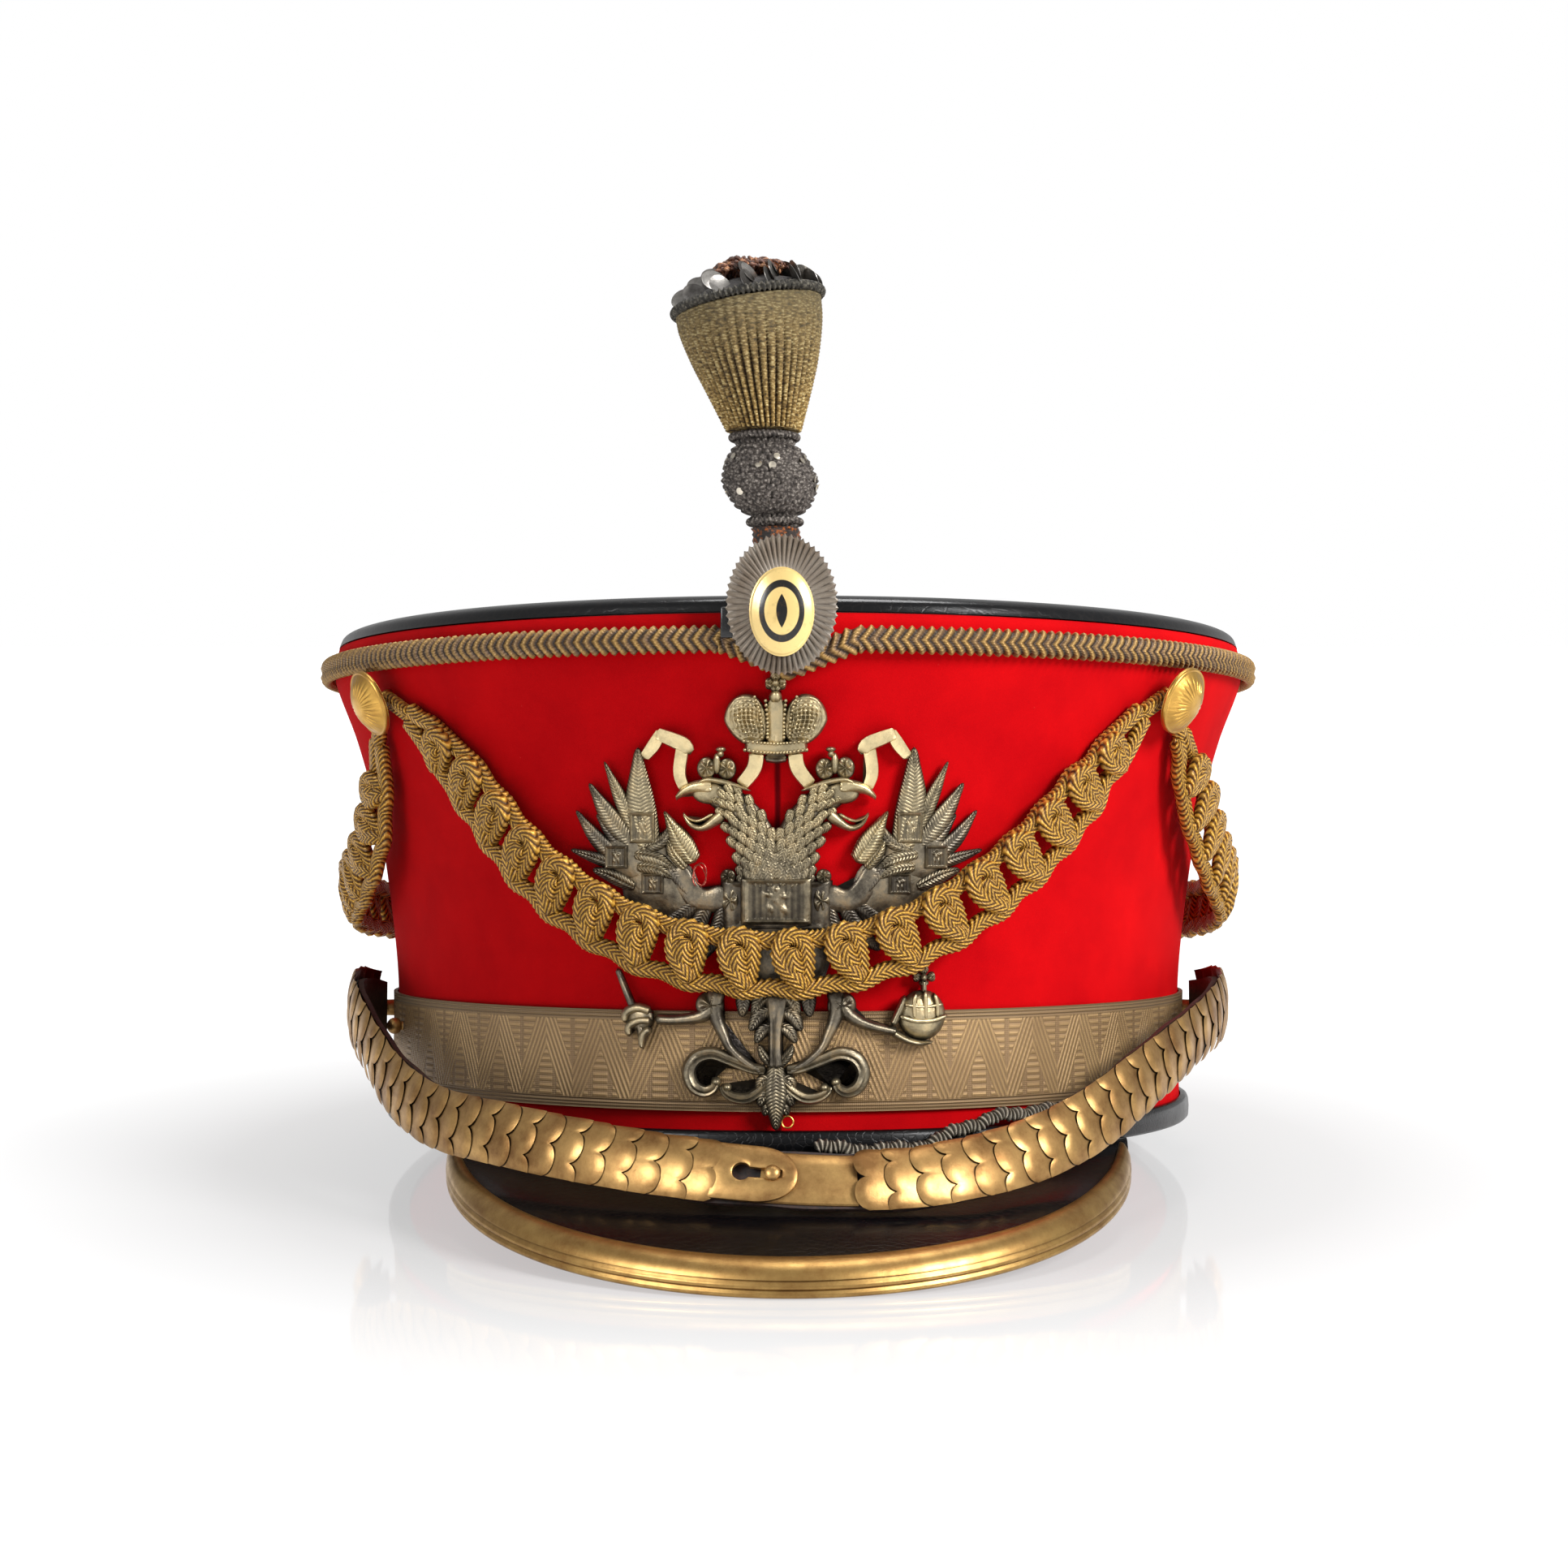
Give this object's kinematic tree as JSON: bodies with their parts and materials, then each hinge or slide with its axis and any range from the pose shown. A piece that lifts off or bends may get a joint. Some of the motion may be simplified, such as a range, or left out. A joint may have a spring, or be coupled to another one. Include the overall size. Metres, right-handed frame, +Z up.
{
  "type": "shako hat",
  "caption": "Red cloth shako with lacquered crown, leather peak, plaited cord festoons, eagle badge, cockade, plume and a brass-scaled chin strap worn across the peak",
  "frame": {"origin": "the middle of the bounding box at table level, with the hat resting on the front edge of its peak and the back of its foot band", "axes": "+Z up from the table; the front, with the badge and the peak, faces -Y; +X is the wearer's left"},
  "size_m": [0.2026, 0.2666, 0.1835],
  "materials": {
    "red_cloth": "dense red wool felt, matt, fine nap",
    "crown_lacquer": "black lacquered leather, glossy with fine crackle",
    "top_cord": "braided metallic cord, tarnished gold and brown",
    "lace": "woven metallic lace, dull gold",
    "black_leather": "black leather, glossy, lightly worn",
    "gilt_brass": "gilt brass, polished with light patina",
    "badge_metal": "cast metal, oxidised silver with pale gilt high spots",
    "cockade_metal": "pressed silvered metal pleats, dull",
    "cockade_enamel": "gold and black enamel, glossy",
    "black_clip": "black enamelled metal",
    "stem_cloth": "dark brown wound thread",
    "dark_silver_yarn": "knitted dark silver metallic yarn with sequins",
    "bullion": "coiled bullion wire, greyed gold",
    "gold_cord": "plaited metallic gold cord with brown tracer yarns",
    "scale_brass": "stamped brass with brown patina",
    "grey_wound_cord": "grey wound metallic cord"
  },
  "bodies": {
    "root": {"body_shell": "red_cloth", "crown_top": "crown_lacquer", "top_cord": "top_cord", "lace_band": "lace", "foot_band": "black_leather", "peak": "black_leather", "peak_binding": "gilt_brass", "eagle_badge": "badge_metal", "cockade_rays": "cockade_metal", "cockade_disc": "cockade_enamel", "cord_clip": "black_clip", "plume_stem": "stem_cloth", "plume_ring_low": "dark_silver_yarn", "plume_ball": "dark_silver_yarn", "plume_ring_high": "dark_silver_yarn", "plume_cup": "bullion", "plume_top": "dark_silver_yarn", "button_left": "gilt_brass", "button_right": "gilt_brass", "festoon_front": "gold_cord", "festoon_rear": "gold_cord", "chin_scales_left": "scale_brass", "chin_scales_right": "scale_brass", "clasp_plate_left": "scale_brass", "clasp_plate_right": "scale_brass", "strap_boss_left": "scale_brass", "strap_boss_right": "scale_brass", "ball_stud_left": "scale_brass", "ball_stud_right": "scale_brass", "wound_cord": "grey_wound_cord"}
  },
  "joints": []
}
